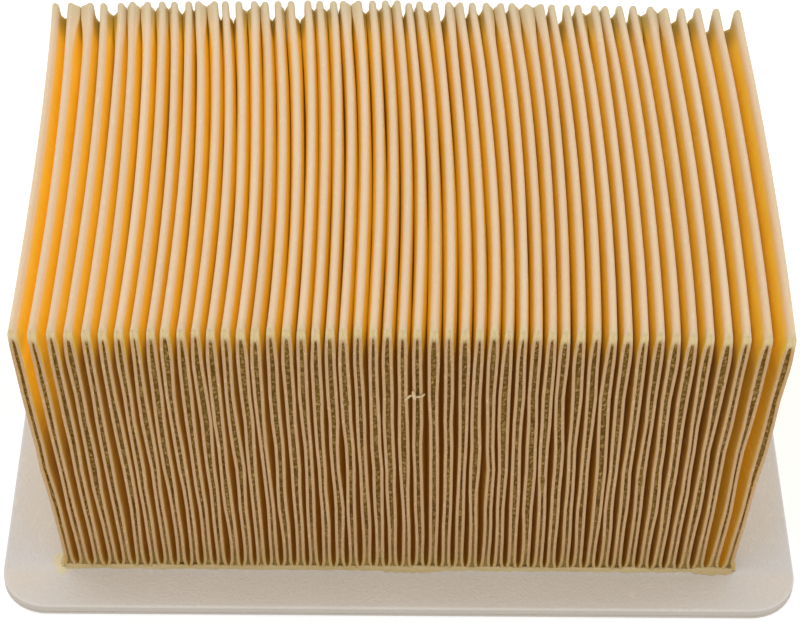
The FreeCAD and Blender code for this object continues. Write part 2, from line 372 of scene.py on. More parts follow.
def pleat_form_group(centre_group):
    """A pleat's middle, the half distance to its neighbour, and its half width, at a height."""
    inputs = (
        ("Pleat", FLOAT, 0.0),
        ("Side", FLOAT, 1.0),
        ("Along", FLOAT, 0.0),
        ("Height", FLOAT, 0.0),
        ("Ridge", FLOAT, 0.0),
    ) + SHAPE
    outputs = (("Centre", FLOAT), ("Half Gap", FLOAT), ("Half Width", FLOAT), ("Inside", FLOAT))
    tree, given, result = new_tree("pleat_form", "GeometryNodeTree", inputs, outputs)
    pleat, side, along, height, ridge = numbers(
        tree, given, ("Pleat", "Side", "Along", "Height", "Ridge")
    )
    count, foot, half, seed = numbers(
        tree, given, ("Pleat Count", "Foot", "Half Length", "Seed")
    )
    passed = {name: given[name] for name in SHAPE_NAMES}
    passed.update({"Along": along, "Height": height})
    own = use_group(tree, centre_group, {**passed, "Pleat": pleat})[0]
    neighbour = use_group(tree, centre_group, {**passed, "Pleat": pleat + side})[0]
    half_gap = abs(Field(tree, neighbour) - Field(tree, own)) * 0.5
    end = abs(along / half)
    rear_end = (along / half).step(0.72, 0.98)
    depth = ridge - height
    # Every channel has a neighbour on both sides, apart from the pack's two outer walls.
    channel = pleat + side * 0.5
    inside = channel.above(0.0) * (count - 1.0).above(channel)
    # The walls lie together under the crease, then part. Between the glued ends they belly out.
    loosely = wander(tree, pleat * 2.9, along * 25.0, height * 45.0 + seed)
    front_end = (along / half).step(-0.6, -1.0)
    widest = (WALL_HALF_WIDTH - front_end * FRONT_TUCK) + (height - foot) * WALL_TAPER
    widest = widest + loosely * (LOOSENESS + front_end * FRONT_LOOSENESS)
    kept_clear = HALF_CHANNEL - front_end * (HALF_CHANNEL - FRONT_HALF_CHANNEL)
    wide = (half_gap - kept_clear + loosely * LOOSENESS).at_most(widest)
    closing = 1.0 - (depth / PARTED_DEPTH).limited()
    parted = (1.0 - closing.power(2.2)) * (1.0 - rear_end * 0.85)
    lower = (height - foot).step(NARROW_START, NARROW_FULL)
    crease = CREASE_HALF_WIDTH + rear_end * REAR_CREASE
    loose = crease.mix(wide.mix(FOOT_HALF_WIDTH, lower), parted)
    belly = depth.step(BELLY_START, BELLY_FULL) * end.step(1.0, 0.88) * inside
    spare = wander(tree, channel * 3.1, along * 30.0, height * 30.0) * BELLY_UNEVEN
    spare = (BELLY_HALF_CHANNEL + spare).at_least(LEAST_HALF_CHANNEL)
    loose = loose.mix(half_gap - spare, belly)
    # At the rear each pair of neighbours meets a little way down, some pairs lower than others.
    pick = wander(tree, channel * 7.7, 3.0, seed)
    shut_depth = SHUT_DEPTH + pick.step(-0.6, 0.9) * SHUT_SPREAD
    shut_depth = shut_depth + channel.step(count - 4.0, count - 2.5) * SHUT_LAST
    shut = (depth - shut_depth).step(-1.0 * MM, 0.0) * rear_end * inside
    loose = loose.mix(half_gap, shut).at_most(half_gap)
    # At the foot they reach out to the valley folds they share with the neighbours.
    folded = half_gap - VALLEY_RADIUS
    curl = height - (foot + PAPER_THICK + VALLEY_RADIUS)
    half_width = loose.mix(folded, curl.step(CURL_HEIGHT, 0.0))
    connect(tree, own, result["Centre"])
    connect(tree, half_gap, result["Half Gap"])
    connect(tree, half_width, result["Half Width"])
    connect(tree, inside, result["Inside"])
    return tree


# ------------------------------------------------------------ the folded paper

RIDGE_STEPS, WALL_STEPS, VALLEY_STEPS = 3, 22, 2
SIDE_STEPS = RIDGE_STEPS + WALL_STEPS + VALLEY_STEPS
LENGTH_STEPS = 16
# Half of a wall's rows share this much of its height, next to the ridge.
NEAR_RIDGE = 0.135


def store_number(tree, geometry, name, value):
    inputs = {"Geometry": geometry, "Name": name, "Value": value}
    node = add_node(
        tree, "GeometryNodeStoreNamedAttribute", inputs, data_type="FLOAT", domain="POINT"
    )
    return node.outputs[0]


def grid_points(tree, geometry, position, attributes, material, smooth=True):
    """Names what the materials read, moves a mesh's points, and gives it its material."""
    for name, value in attributes.items():
        geometry = store_number(tree, geometry, name, value)
    moved = add_node(
        tree, "GeometryNodeSetPosition", {"Geometry": geometry, "Position": position}
    ).outputs[0]
    moved = add_node(
        tree, "GeometryNodeSetShadeSmooth", {"Geometry": moved, "Shade Smooth": smooth}
    ).outputs[0]
    moved = add_node(tree, "GeometryNodeRealizeInstances", {"Geometry": moved}).outputs[0]
    return add_node(
        tree, "GeometryNodeSetMaterial", {"Geometry": moved, "Material": material}
    ).outputs[0]


def paper_tree(ridge_group, form_group, material):
    """The outer face of the strip: a flat grid folded pleat by pleat."""
    tree, given, result = new_tree(
        "folded_strip", "GeometryNodeTree", SHAPE, (("Geometry", "NodeSocketGeometry"),)
    )
    count, foot, half = numbers(tree, given, ("Pleat Count", "Foot", "Half Length"))
    columns = count * (2.0 * SIDE_STEPS) + 1.0
    grid = add_node(
        tree,
        "GeometryNodeMeshGrid",
        {"Size X": count, "Size Y": 1.0, "Vertices X": columns, "Vertices Y": LENGTH_STEPS + 1},
    ).outputs["Mesh"]
    flat = axes(tree, add_node(tree, "GeometryNodeInputPosition").outputs[0])
    strip = flat[0] + count / 2.0
    along = (flat[1] * math.pi).sine() * half
    # A point on a fold counts with what comes after it, apart from the strip's last one.
    pleat = (strip + 0.001).floor().at_most(count - 1.0)
    turn = (strip - pleat) * 2.0 - 1.0
    side = (turn + 0.0001).sign()
    # From 0 at the ridge to 1 at the valley fold: over the crease, down the wall, and under.
    down = abs(turn)
    ridge_end = RIDGE_STEPS / SIDE_STEPS
    wall_end = (RIDGE_STEPS + WALL_STEPS) / SIDE_STEPS
    over = (down / ridge_end).limited() * (math.pi / 2)
    drop = ((down - ridge_end) / (wall_end - ridge_end)).limited()
    under = ((down - wall_end) / (1.0 - wall_end)).limited() * (math.pi / 2)
    passed = {name: given[name] for name in SHAPE_NAMES}
    line = use_group(tree, ridge_group, {**passed, "Pleat": pleat, "Along": along})
    ridge, shift = Field(tree, line["Ridge"]), Field(tree, line["Shift"])
    valley = foot + (PAPER_THICK + VALLEY_RADIUS)
    # The wall's rows lie close together near the ridge and the foot, where its shape changes.
    near = (drop * 2.0).limited().power(1.3) * NEAR_RIDGE
    above_foot = 1.0 - (drop * 2.0 - 1.0).limited()
    fall = near + (1.0 - above_foot.power(1.5)) * (1.0 - NEAR_RIDGE)
    height = (
        ridge
        - CREASE_DROP * (1.0 - over.cosine())
        - (ridge - CREASE_DROP - valley) * fall
        - VALLEY_RADIUS * under.sine()
    )
    place = {"Pleat": pleat, "Side": side, "Along": along, "Height": height, "Ridge": ridge}
    form = use_group(tree, form_group, {**passed, **place})
    centre, half_gap, half_width, inside = numbers(
        tree, form, ("Centre", "Half Gap", "Half Width", "Inside")
    )
    curl = half_gap - VALLEY_RADIUS * under.cosine()
    reach = (half_width * over.sine()).mix(curl, down.above(wall_end + 0.001))
    position = vector(tree, centre + side * reach, along + shift, height)
    depth = ridge - height
    reach_along = along / half
    attributes = {
        "crease": depth.step(3.6 * MM, 0.3 * MM),
        "depth": depth,
        "pleat": pleat,
        "inside": inside,
        "glued": reach_along.step(0.8, 1.0).at_least(reach_along.step(-0.94, -1.0) * 0.6),
    }
    connect(tree, grid_points(tree, grid, position, attributes, material), result["Geometry"])
    return tree


def folded_paper(groups, face, cut_edge):
    """The whole strip, with the paper's thickness."""
    ridge_group, form_group = groups
    tree = paper_tree(ridge_group, form_group, face)
    piece = grow("folded_paper", tree, SHAPE_VALUES)
    piece.data.materials.append(cut_edge)
    wall = piece.modifiers.new("paper", "SOLIDIFY")
    wall.thickness = PAPER_THICK
    wall.offset = -1.0
    wall.use_even_offset = True
    wall.material_offset_rim = 1
    return settle(piece)


# ------------------------------------------------------------ glue between the walls


SEAM_ROUGHNESS = 0.34 * MM
# How far the seams stand in from the ends of the paper, and their pale caps under the ridge.
SEAM_RECESS = 0.4 * MM
SEAM_CAP_RECESS = 0.05 * MM
SEAM_TOP_GAP = 0.9 * MM
SEAM_SPILL = 0.12 * MM
CAP_UNEVEN = 0.8 * MM
SPACER_ROUGHNESS = 0.3 * MM
SPACER_WIDTH = 2.0 * MM
SPACER_FOOT_GAP = 4.0 * MM
SPACER_TOP_GAP = 15.0 * MM
# How far the glue reaches into the paper it is stuck to.
GLUE_BITE = 0.05 * MM


def filler_tree(name, groups, material, steps, roughness):
    """One block of glue in each pleat, between its walls."""
    ridge_group, form_group = groups
    sizes = (
        ("Bottom Gap", FLOAT, 0.0),
        ("Top Gap", FLOAT, 1.0),
        ("Start", FLOAT, 0.0),
        ("Deep", FLOAT, 1.0),
        ("Rough", FLOAT, roughness),
        ("Flush", FLOAT, 0.0),
        ("Spill", FLOAT, 0.0),
    )
    tree, given, result = new_tree(
        name, "GeometryNodeTree", SHAPE + sizes, (("Geometry", "NodeSocketGeometry"),)
    )
    count, foot, seed = numbers(tree, given, ("Pleat Count", "Foot", "Seed"))
    bottom_gap, top_gap, start, deep, rough, flush, spill = numbers(
        tree, given, [label for label, _, _ in sizes]
    )
    block = add_node(tree, "GeometryNodeMeshCube", {"Size": (1.0, 1.0, 1.0)})
    for key, value in zip(("Vertices X", "Vertices Y", "Vertices Z"), steps):
        block.inputs[key].default_value = value
    points = add_node(tree, "GeometryNodePoints", {"Count": count}).outputs[0]
    index = add_node(tree, "GeometryNodeInputIndex").outputs[0]
    numbered = store_number(tree, points, "pleat", index)
    blocks = add_node(
        tree,
        "GeometryNodeInstanceOnPoints",
        {"Points": numbered, "Instance": block.outputs["Mesh"]},
    ).outputs[0]
    blocks = add_node(tree, "GeometryNodeRealizeInstances", {"Geometry": blocks}).outputs[0]
    named = add_node(tree, "GeometryNodeInputNamedAttribute", data_type="FLOAT")
    named.inputs["Name"].default_value = "pleat"
    pleat = Field(tree, named.outputs[0])
    across, inward, up = axes(tree, add_node(tree, "GeometryNodeInputPosition").outputs[0])
    side = (across + 0.001).sign()
    along = start + (inward + 0.5) * deep
    passed = {label: given[label] for label in SHAPE_NAMES}
    line = use_group(tree, ridge_group, {**passed, "Pleat": pleat, "Along": along})
    ridge, shift = Field(tree, line["Ridge"]), Field(tree, line["Shift"])
    low = foot + bottom_gap
    height = low + (up + 0.5) * (ridge - top_gap - low)
    place = {"Pleat": pleat, "Side": side, "Along": along, "Height": height, "Ridge": ridge}
    form = use_group(tree, form_group, {**passed, **place})
    centre, half_width = numbers(tree, form, ("Centre", "Half Width"))
    ragged = wander(tree, across * 9.0 + pleat * 5.0, inward * 7.0, height * 1500.0)
    inner = (half_width - PAPER_THICK).at_least(0.0) + GLUE_BITE + ragged.at_least(0.0) * spill
    # Only the two ends of the block are rough; its sides are stuck to the paper.
    lumps = wander(tree, across * 2.0 + pleat * 3.3, seed, height * 900.0, detail=2.0)
    hollow = wander(tree, pleat * 4.7, seed + 5.0, height * 160.0)
    outward = inward.sign()
    # Paler glue caps each seam under the ridge.
    ends_at = wander(tree, pleat * 2.3, seed) * CAP_UNEVEN
    cap = (ridge - height + ends_at).step(4.0 * MM, 2.0 * MM)
    push = (lumps * 0.6 + hollow) * rough * (1.0 - cap) + cap * flush
    push = push * outward
    position = vector(tree, centre + across * 2.0 * inner, along + shift + push, height)
    attributes = {"lump": lumps, "cap": cap, "depth": ridge - height}
    connect(
        tree, grid_points(tree, blocks, position, attributes, material, False), result["Geometry"]
    )
    return tree


def glue_pieces(groups, seam_material, spacer_material):
    """Seams at both ends of every pleat, and the spacer lines inside."""
    seam = filler_tree("pleat_seam", groups, seam_material, (5, 2, 170), SEAM_ROUGHNESS)
    spacer = filler_tree("spacer_line", groups, spacer_material, (3, 3, 14), SPACER_ROUGHNESS)
    made = {}
    for node, start in (
        ("front_pleat_seams", FRONT + SEAM_RECESS),
        ("rear_pleat_seams", -FRONT - SEAM_RECESS - SEAM_DEPTH),
    ):
        sizes = {
            "Bottom Gap": 0.0,
            "Top Gap": SEAM_TOP_GAP,
            "Start": start,
            "Deep": SEAM_DEPTH,
            "Flush": SEAM_RECESS - SEAM_CAP_RECESS,
            "Spill": SEAM_SPILL,
        }
        name = node.replace("pleat_seams", "glue_seams")
        made[node] = grow(name, seam, {**SHAPE_VALUES, **sizes})
    for node, start in (
        ("front_spacer_lines", -SPACER_SPACING),
        ("middle_spacer_lines", 0.0),
        ("rear_spacer_lines", SPACER_SPACING),
    ):
        sizes = {
            "Bottom Gap": SPACER_FOOT_GAP,
            "Top Gap": SPACER_TOP_GAP,
            "Start": start - SPACER_WIDTH / 2,
            "Deep": SPACER_WIDTH,
        }
        made[node] = grow(node.replace("lines", "glue"), spacer, {**SHAPE_VALUES, **sizes})
    return made


# ------------------------------------------------------------ materials


def new_material(name):
    material = bpy.data.materials.new(name)
    material.use_nodes = True
    tree = material.node_tree
    return material, tree, tree.nodes["Principled BSDF"]


def named_value(tree, name):
    node = add_node(tree, "ShaderNodeAttribute", attribute_name=name)
    return Field(tree, node.outputs["Fac"])


def blend_colours(tree, share, first, second):
    """Mixes two colours, which may be sockets or RGB."""
    node = add_node(tree, "ShaderNodeMix", data_type="RGBA")
    connect(tree, share, node.inputs["Factor"])
    for key, colour in (("A", first), ("B", second)):
        slot = [s for s in node.inputs if s.name == key and s.type == "RGBA"][0]
        connect(tree, (*colour, 1.0) if isinstance(colour, tuple) else colour, slot)
    return [s for s in node.outputs if s.type == "RGBA"][0]


def linear(red, green, blue):
    """A colour given as it looks on a screen, 0 to 255."""

    def channel(value):
        value /= 255
        return value / 12.92 if value <= 0.04045 else ((value + 0.055) / 1.055) ** 2.4

    return channel(red), channel(green), channel(blue)


# Paper: its walls, with a painted shade for their deep parts, its creases, where glue shows through
# it, and its cut edges.
AMBER, LIGHT_AMBER = linear(240, 194, 44), linear(243, 202, 60)
PAINTED_SHADE_AMBER = linear(188, 134, 34)
DRY_AMBER, LIGHT_DRY_AMBER = linear(226, 180, 84), linear(236, 196, 112)
CREASE_TAN, LIGHT_CREASE_TAN = linear(219, 190, 155), linear(226, 200, 168)
FIBRE_FLECK = linear(250, 232, 200)
SPACER_SHADOW = linear(176, 130, 54)
GLUED_WALL, GLUED_CREASE = linear(168, 138, 68), linear(202, 187, 150)
CUT_EDGE, LIGHT_CUT_EDGE = linear(197, 160, 118), linear(214, 184, 140)
CUT_TIP, CUT_FOOT = linear(222, 200, 152), linear(204, 180, 118)
# Painted glow, given as emission, for light that has come through the paper, from a ridge down, and
# in the pack's last channels.
BLACK = (0.0, 0.0, 0.0)
RIDGE_LIGHT, WALL_LIGHT = linear(226, 184, 136), linear(214, 176, 30)
DEEP_LIGHT, END_LIGHT = linear(136, 92, 16), linear(234, 172, 16)
# Glue.
SEAM_BROWN, SEAM_SPECK = linear(106, 76, 18), linear(178, 146, 84)
SEAM_CAP, SEAM_FOOT = linear(216, 196, 148), linear(172, 142, 80)
KNOT_CREAM, KNOT_STRAW = linear(216, 186, 152), linear(196, 172, 116)
BEAD_STRAW, LIGHT_BEAD_STRAW = linear(190, 162, 108), linear(206, 184, 136)
# Flange.
FELT_GREY, LIGHT_FELT_GREY = linear(208, 206, 203), linear(216, 214, 212)
FELT_FLECK = linear(238, 234, 226)
FELT_COOL_AGAINST_BOUNCE, FELT_WARM_BOUNCE, FELT_RIM_SHADE = linear(203, 204, 216), linear(220, 208, 190), linear(180, 170, 156)
GLUE_STAIN = linear(226, 212, 158)
BOARD_BROWN, LIGHT_BOARD_BROWN = linear(150, 132, 104), linear(172, 154, 124)


def on_object(tree):
    """Where a point of the surface is, in the object's own frame."""
    return axes(tree, add_node(tree, "ShaderNodeTexCoord").outputs["Object"])


def clouded(tree, fibres, first, second):
    """A colour that drifts between two, in soft clouds."""
    return blend_colours(tree, Field(tree, fibres["Clouds"]), first, second)


def fibre_grain_group():
    """Matted fibres: a height for bumps and a mask of paler flecks."""
    inputs = (("Fineness", FLOAT, 1.0), ("Stretch", FLOAT, 1.0))
    outputs = (("Height", FLOAT), ("Flecks", FLOAT), ("Clouds", FLOAT))
    tree, given, result = new_tree("fibre_grain", "ShaderNodeTree", inputs, outputs)
    fineness, stretch = numbers(tree, given, ("Fineness", "Stretch"))
    x, y, z = on_object(tree)
    fine = fineness * 2600.0
    grain = wander(tree, x * fine, y * fine * stretch, z * fine, detail=3.0)
    flecks = wander(tree, x * fine * 0.5, y * fine * 0.2, z * fine * 0.2, detail=1.0)
    coarse = fineness * 90.0
    clouds = wander(tree, x * coarse, y * coarse, z * coarse, detail=3.0)
    connect(tree, grain, result["Height"])
    connect(tree, flecks.step(0.3, 1.3), result["Flecks"])
    connect(tree, clouds * 0.5 + 0.5, result["Clouds"])
    return tree


def add_bump(tree, shader, height, distance):
    inputs = {"Height": height, "Distance": distance, "Strength": 1.0}
    bump = add_node(tree, "ShaderNodeBump", inputs)
    connect(tree, bump.outputs[0], shader.inputs["Normal"])


def set_plain(shader, values):
    """Sets a shader's plain values, which are the same all over."""
    for name, value in values.items():
        shader.inputs[name].default_value = value


def paper_material(grain):
    material, tree, shader = new_material("resin_treated_paper")
    fibres = use_group(tree, grain, {"Fineness": 1.0, "Stretch": 0.5})
    crease = named_value(tree, "crease")
    pleat = named_value(tree, "pleat")
    depth = named_value(tree, "depth")
    inside = named_value(tree, "inside")
    glued = named_value(tree, "glued")
    x, y, z = on_object(tree)
    by_pleat = (wander(tree, pleat * 3.1) * 0.5 + 0.5).limited()
    tan = blend_colours(tree, by_pleat, CREASE_TAN, LIGHT_CREASE_TAN)
    amber = clouded(tree, fibres, AMBER, LIGHT_AMBER)
    # Painted shade: the inner walls turn darker deeper down the channels.
    deep = depth.step(5.0 * MM, 13.0 * MM) * inside
    amber = blend_colours(tree, deep, amber, PAINTED_SHADE_AMBER)
    colour = blend_colours(tree, crease, amber, tan)
    colour = blend_colours(tree, Field(tree, fibres["Flecks"]) * 0.2, colour, FIBRE_FLECK)
    # The two outer walls are drier and paler, and the spacer lines behind them show faintly.
    outer = 1.0 - inside
    dry = clouded(tree, fibres, DRY_AMBER, LIGHT_DRY_AMBER)
    colour = blend_colours(tree, outer * (1.0 - crease) * 0.75, colour, dry)
    lines_off = y / SPACER_SPACING
    from_line = abs(lines_off - (lines_off + 0.5).floor()) * SPACER_SPACING
    shown = from_line.step(2.2 * MM, 0.4 * MM) * depth.step(12.0 * MM, 20.0 * MM)
    patchy = wander(tree, z * 150.0, y * 150.0) * 0.4 + 0.6
    shown = shown * abs(y).step(36.0 * MM, 34.0 * MM) * patchy
    colour = blend_colours(tree, (shown * outer * 0.2).limited(), colour, SPACER_SHADOW)
    # The paper is duller where glue inside the pleat shows through it.
    dull = blend_colours(tree, crease, GLUED_WALL, GLUED_CREASE)
    colour = blend_colours(tree, glued * 0.8, colour, dull)
    connect(tree, colour, shader.inputs["Base Color"])
    # Painted glow: emission stands in for light that has come down through the paper. It keeps the
    # walls warm, and fades on its way.
    glow_colour = blend_colours(tree, depth.step(0.8 * MM, 2.6 * MM), RIDGE_LIGHT, WALL_LIGHT)
    glow_colour = blend_colours(tree, depth.step(2.0 * MM, 11.0 * MM), glow_colour, DEEP_LIGHT)
    clear = depth.step(0.1 * MM, 1.2 * MM) * (1.0 - glued * 0.7) * inside
    # There is a little more painted glow towards -X, the side the lamp is on.
    clear = clear * (1.0 - x * 6.5)
    # The last channels at both ends of the pack get more painted glow, standing in for light through
    # its outer walls too.
    right_end = pleat.step(PLEATS - 3.4, PLEATS - 1.2)
    left_end = pleat.step(2.4, 0.2) * depth.step(45.0 * MM, 15.0 * MM)
    end_lit = right_end.at_least(left_end) * depth.step(4.0 * MM, 10.0 * MM)
    glow_colour = blend_colours(tree, end_lit, glow_colour, END_LIGHT)
    clear = clear * (0.31 + end_lit * 0.56)
    connect(tree, blend_colours(tree, clear, BLACK, glow_colour), shader.inputs["Emission Color"])
    values = {
        "Emission Strength": 0.45,
        "Roughness": 0.82,
        "Subsurface Weight": 0.35,
        "Subsurface Radius": (1.0, 0.8, 0.3),
        "Subsurface Scale": 1.2 * MM,
    }
    set_plain(shader, values)
    add_bump(tree, shader, fibres["Height"], 0.03 * MM)
    return material


def cut_edge_material(grain):
    material, tree, shader = new_material("cut_paper_edge")
    fibres = use_group(tree, grain, {"Fineness": 1.4, "Stretch": 1.0})
    depth = named_value(tree, "depth")
    colour = blend_colours(tree, Field(tree, fibres["Flecks"]), CUT_EDGE, LIGHT_CUT_EDGE)
    ends_at = wander(tree, named_value(tree, "pleat") * 2.3, 3.0) * CAP_UNEVEN
    tip = (depth + ends_at).step(4.2 * MM, 1.0 * MM)
    colour = blend_colours(tree, tip, colour, CUT_TIP)
    foot = depth.step(70.0 * MM, 76.0 * MM) * 0.7
    colour = blend_colours(tree, foot, colour, CUT_FOOT)
    connect(tree, colour, shader.inputs["Base Color"])
    set_plain(shader, {"Roughness": 0.9, "Specular IOR Level": 0.25})
    add_bump(tree, shader, fibres["Height"], 0.06 * MM)
    return material


def seam_material(grain):
    material, tree, shader = new_material("brown_seam_glue")
    fibres = use_group(tree, grain, {"Fineness": 0.7, "Stretch": 1.0})
    lump = named_value(tree, "lump")
    specks = use_group(tree, grain, {"Fineness": 0.5, "Stretch": 1.0})["Height"]
    share = (lump * 0.7 + Field(tree, specks)).step(-0.4, 1.4)
    colour = blend_colours(tree, share, SEAM_BROWN, SEAM_SPECK)
    colour = blend_colours(tree, named_value(tree, "cap"), colour, SEAM_CAP)
    foot = named_value(tree, "depth").step(58.0 * MM, 75.0 * MM) * 0.6
    colour = blend_colours(tree, foot, colour, SEAM_FOOT)
    connect(tree, colour, shader.inputs["Base Color"])
    set_plain(shader, {"Roughness": 0.8, "Specular IOR Level": 0.15})
    add_bump(tree, shader, fibres["Height"], 0.05 * MM)
    return material


def knot_material(grain):
    material, tree, shader = new_material("pale_glue")
    fibres = use_group(tree, grain, {"Fineness": 0.5, "Stretch": 1.0})
    connect(tree, clouded(tree, fibres, KNOT_CREAM, KNOT_STRAW), shader.inputs["Base Color"])
    set_plain(shader, {"Roughness": 0.6})
    return material


def bead_material(grain):
    material, tree, shader = new_material("straw_hot_melt")
    fibres = use_group(tree, grain, {"Fineness": 0.5, "Stretch": 1.0})
    colour = clouded(tree, fibres, BEAD_STRAW, LIGHT_BEAD_STRAW)
    connect(tree, colour, shader.inputs["Base Color"])
    values = {
        "Roughness": 0.5,
        "Subsurface Weight": 0.3,
        "Subsurface Radius": (1.0, 0.7, 0.3),
        "Subsurface Scale": 1.0 * MM,
    }
    set_plain(shader, values)
    add_bump(tree, shader, fibres["Height"], 0.04 * MM)
    return material


def felt_material(grain):
    material, tree, shader = new_material("pressed_felt")
    fibres = use_group(tree, grain, {"Fineness": 0.6, "Stretch": 1.0})
    colour = clouded(tree, fibres, FELT_GREY, LIGHT_FELT_GREY)
    colour = blend_colours(tree, Field(tree, fibres["Flecks"]) * 0.4, colour, FELT_FLECK)
    x, y, z = on_object(tree)
    # The felt's upper side is painted a shade cooler at both ends, against the yellow light the pack
    # bounces there, and a shade warmer along its front, a painted warm reflection from the pack.
    upper_side = z.step(1.8 * MM, 2.6 * MM)
    beside = abs(x).step(70.0 * MM, 78.0 * MM) * upper_side * 0.4
    colour = blend_colours(tree, beside, colour, FELT_COOL_AGAINST_BOUNCE)
    ahead = y.step(-50.0 * MM, -56.0 * MM) * upper_side * 0.5
    colour = blend_colours(tree, ahead, colour, FELT_WARM_BOUNCE)
    # Painted shade: its rim, which faces sideways, is darker than its upper side and its underside.
    rim = z.step(2.9 * MM, 2.3 * MM) * z.step(0.05 * MM, 0.25 * MM) * 0.8
    colour = blend_colours(tree, rim, colour, FELT_RIM_SHADE)
    # Thin glue has soaked into the felt at the pack's front left corner.
    from_side = (x + (BASE_HALF_WIDTH + 0.6 * MM)) / (2.6 * MM)
    from_front = (y - (FRONT + 1.0 * MM)) / (4.2 * MM)
    far = (from_side * from_side + from_front * from_front).power(0.5)
    far = far + wander(tree, x * 500.0, y * 500.0) * 0.15
    stained = far.step(1.1, 0.4) * upper_side * 0.7
    colour = blend_colours(tree, stained, colour, GLUE_STAIN)
    connect(tree, colour, shader.inputs["Base Color"])
    set_plain(shader, {"Roughness": 0.95, "Sheen Weight": 0.15})
    add_bump(tree, shader, fibres["Height"], 0.05 * MM)
    return material


def board_material(grain):
    material, tree, shader = new_material("grey_board")
    fibres = use_group(tree, grain, {"Fineness": 0.8, "Stretch": 1.0})
    colour = clouded(tree, fibres, BOARD_BROWN, LIGHT_BOARD_BROWN)
    connect(tree, colour, shader.inputs["Base Color"])
    set_plain(shader, {"Roughness": 0.9})
    add_bump(tree, shader, fibres["Height"], 0.05 * MM)
    return material


# ------------------------------------------------------------ felt rings


def rounded_rectangle(half_width, half_depth, radius, side_points=40, corner_points=10):
    """Points anticlockwise round a rounded rectangle, the same number on any size."""
    points = []
    for quarter, (sx, sy) in enumerate(((1, -1), (1, 1), (-1, 1), (-1, -1))):
        centre = Vector((sx * (half_width - radius), sy * (half_depth - radius), 0))
        first = math.radians(90 * quarter - 90)
        for step in range(corner_points + 1):
            angle = first + math.radians(90) * step / corner_points
            points.append(centre + radius * Vector((math.cos(angle), math.sin(angle), 0)))
        turn = math.radians(90 * quarter)
        along = Vector((-math.sin(turn), math.cos(turn), 0))
        reach = 2 * ((half_depth if quarter % 2 == 0 else half_width) - radius)
        start = points[-1].copy()
        for step in range(1, side_points):
            points.append(start + along * reach * step / side_points)
    return points


def felt_ring(name, profile, material):
    """A ring between the window and the flange's outline.

    Each profile entry is a share of the way out from window to outline, an inset from the
    outline in metres, and a height."""
    window = rounded_rectangle(WINDOW_HALF_WIDTH, WINDOW_HALF_DEPTH, WINDOW_RADIUS)
    loops = []
    for share, inset, height in profile:
        rim = rounded_rectangle(felt_high.x - inset, felt_high.y - inset, CORNER_RADIUS - inset)
        loop = []
        for inner, outer in zip(window, rim):
            point = inner.lerp(outer, share)
            loop.append(Vector((point.x, point.y, height)))
        loops.append(loop)
    mesh = bpy.data.meshes.new(name)
    size = len(window)
    faces = []
    for row in range(len(loops)):
        following = (row + 1) % len(loops)
        for i in range(size):
            j = (i + 1) % size
            faces.append((row * size + i, row * size + j, following * size + j, following * size + i))
    mesh.from_pydata([p for loop in loops for p in loop], [], faces)
    mesh.validate()
    mesh.polygons.foreach_set("use_smooth", [True] * len(mesh.polygons))
    mesh.materials.append(material)
    piece = bpy.data.objects.new(name, mesh)
    bpy.context.scene.collection.objects.link(piece)
    return piece


def soft_edge(inset, corner_height, radius, top, steps=4):
    """Profile entries round the ring's outer edge, from its side up to its top or down."""
    entries = []
    for step in range(steps + 1):
        angle = math.radians(90) * step / steps
        out = radius * (1 - math.cos(angle))
        rise = radius * (1 - math.sin(angle))
        height = corner_height - rise if top else corner_height + rise
        entries.append((1.0, inset + out, height))
    return entries


# Radii of the flange's edges: along its top, round its underside, and where its felts meet.
TOP_EDGE, UNDER_EDGE, MEETING_EDGE = 0.6 * MM, 0.4 * MM, 0.25 * MM
# Room between the board's edge and the felt that is wrapped down round it.
RIM_GAP = 0.1 * MM


def felt_pieces(material):
    flat_shares = [0.0, 0.004, 0.2, 0.4, 0.6, 0.8]
    top = felt_high.z
    upper = [(share, 0.0, top) for share in flat_shares]
    upper += list(reversed(soft_edge(0.0, top, TOP_EDGE, True)))
    upper += soft_edge(0.0, felt_low.z, MEETING_EDGE, False)
    upper += [(1.0, RIM_WIDTH - RIM_GAP, height) for height in (felt_low.z, board_high.z)]
    upper += [(share, 0.0, board_high.z) for share in (0.8, 0.4, 0.0)]
    low = gasket_low.z
    under = [(share, 0.0, gasket_high.z) for share in (0.0, 0.4, 0.8)]
    under += list(reversed(soft_edge(0.0, gasket_high.z, MEETING_EDGE, True)))
    under += soft_edge(0.0, low, UNDER_EDGE, False)
    under += [(share, 0.0, low) for share in reversed(flat_shares)]
    return (
        felt_ring("upper_felt_ring", upper, material),
        felt_ring("lower_felt_ring", under, material),
    )


# ------------------------------------------------------------ glue round the foot


def close_mesh(name, verts, faces, material):
    """A smooth closed mesh, its faces turned outwards."""
    mesh = bpy.data.meshes.new(name)
    mesh.from_pydata(verts, [], faces)
    shell = bmesh.new()
    shell.from_mesh(mesh)
    bmesh.ops.recalc_face_normals(shell, faces=shell.faces)
    shell.to_mesh(mesh)
    shell.free()
    mesh.polygons.foreach_set("use_smooth", [True] * len(mesh.polygons))
    mesh.materials.append(material)
    piece = bpy.data.objects.new(name, mesh)
    bpy.context.scene.collection.objects.link(piece)
    return piece


# The distance between a bead's rows, the least that it measures, and how rough it is.
BEAD_STEP = 0.45 * MM
BEAD_LEAST_WIDTH, BEAD_LEAST_HEIGHT = 0.25 * MM, 0.3 * MM
BEAD_GRAIN = 0.12 * MM
# How far a bead reaches into the pack, and down into the felt.
BEAD_BITE, BEAD_SUNK = 0.6 * MM, 0.05 * MM


